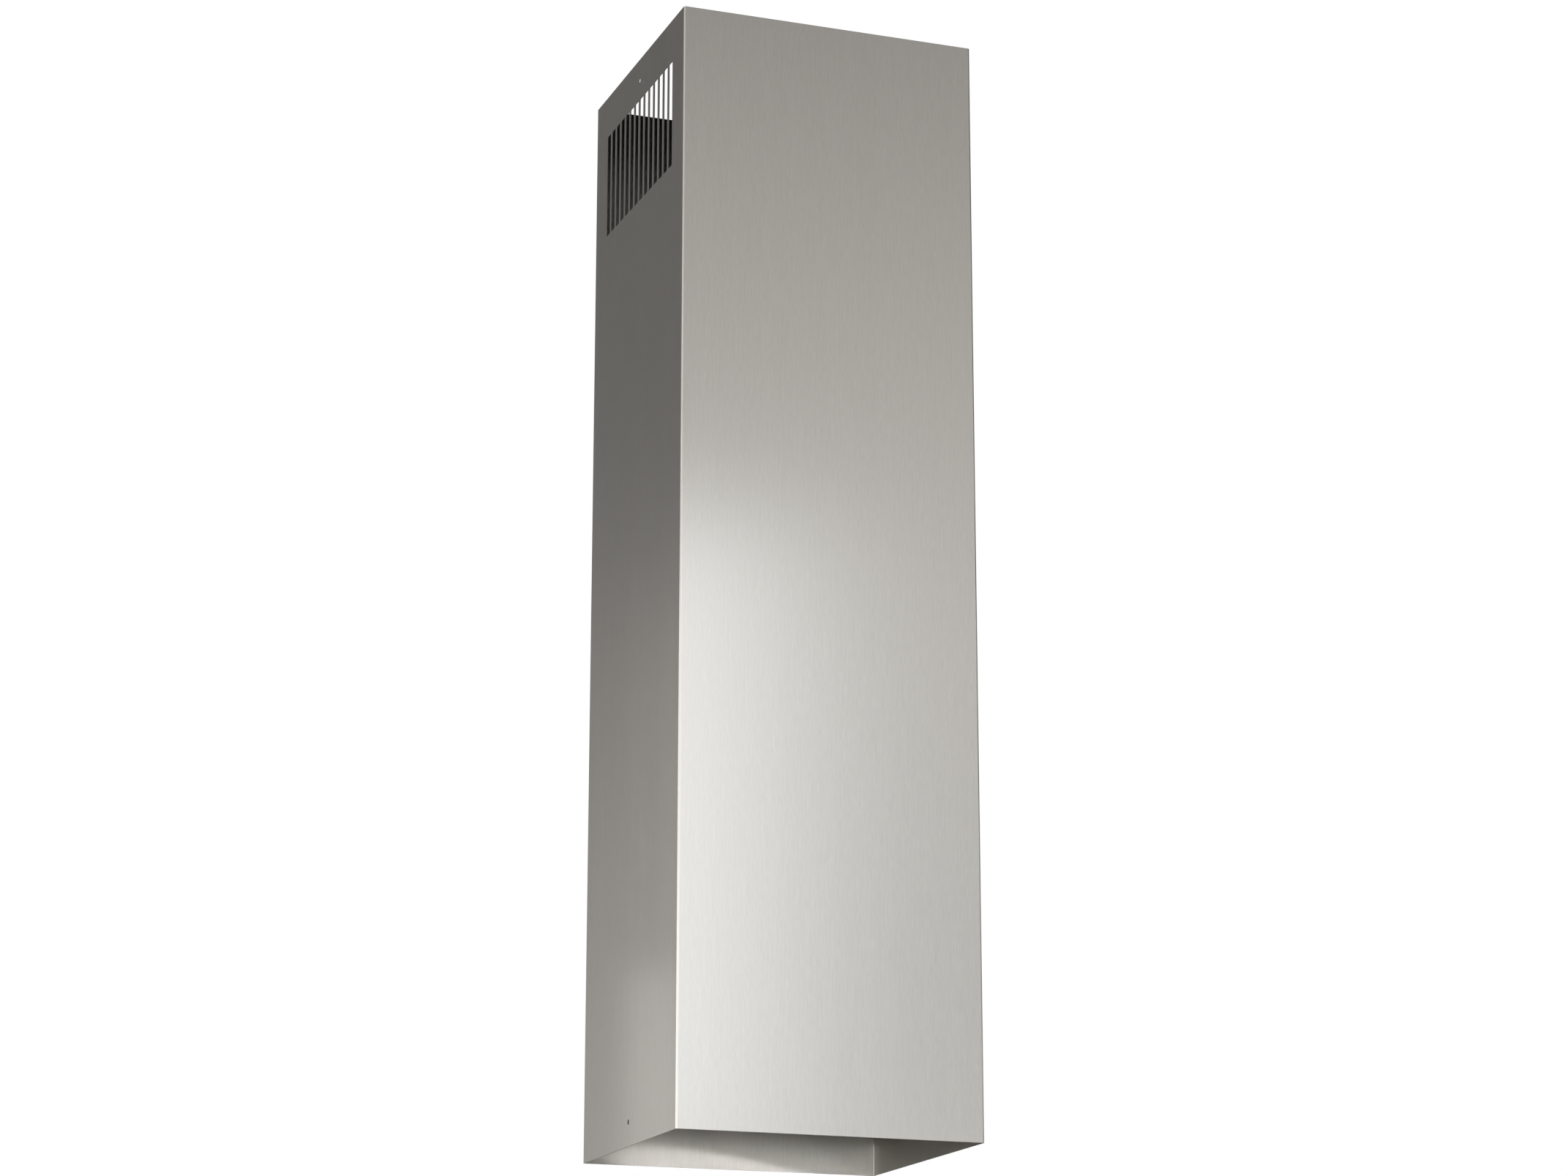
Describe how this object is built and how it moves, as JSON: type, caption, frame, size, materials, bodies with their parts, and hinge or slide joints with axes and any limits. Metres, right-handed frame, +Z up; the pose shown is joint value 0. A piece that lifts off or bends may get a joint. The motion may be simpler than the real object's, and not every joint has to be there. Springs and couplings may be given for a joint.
{
  "type": "cooker hood chimney section",
  "caption": "Upright rectangular cooker hood chimney section folded from brushed stainless sheet, open at both ends, with upright vent slots and fixing screw holes in both side walls.",
  "frame": {"origin": "centre of the lower rim, in the plane of the rim", "axes": "+Z up along the chimney, front wall faces -Y, slotted side walls face -X and +X"},
  "size_m": [0.276, 0.256, 1],
  "materials": {
    "brushed_stainless": "fine brushed, grain upright"
  },
  "bodies": {
    "root": {"chimney_section": "brushed_stainless"}
  },
  "joints": []
}
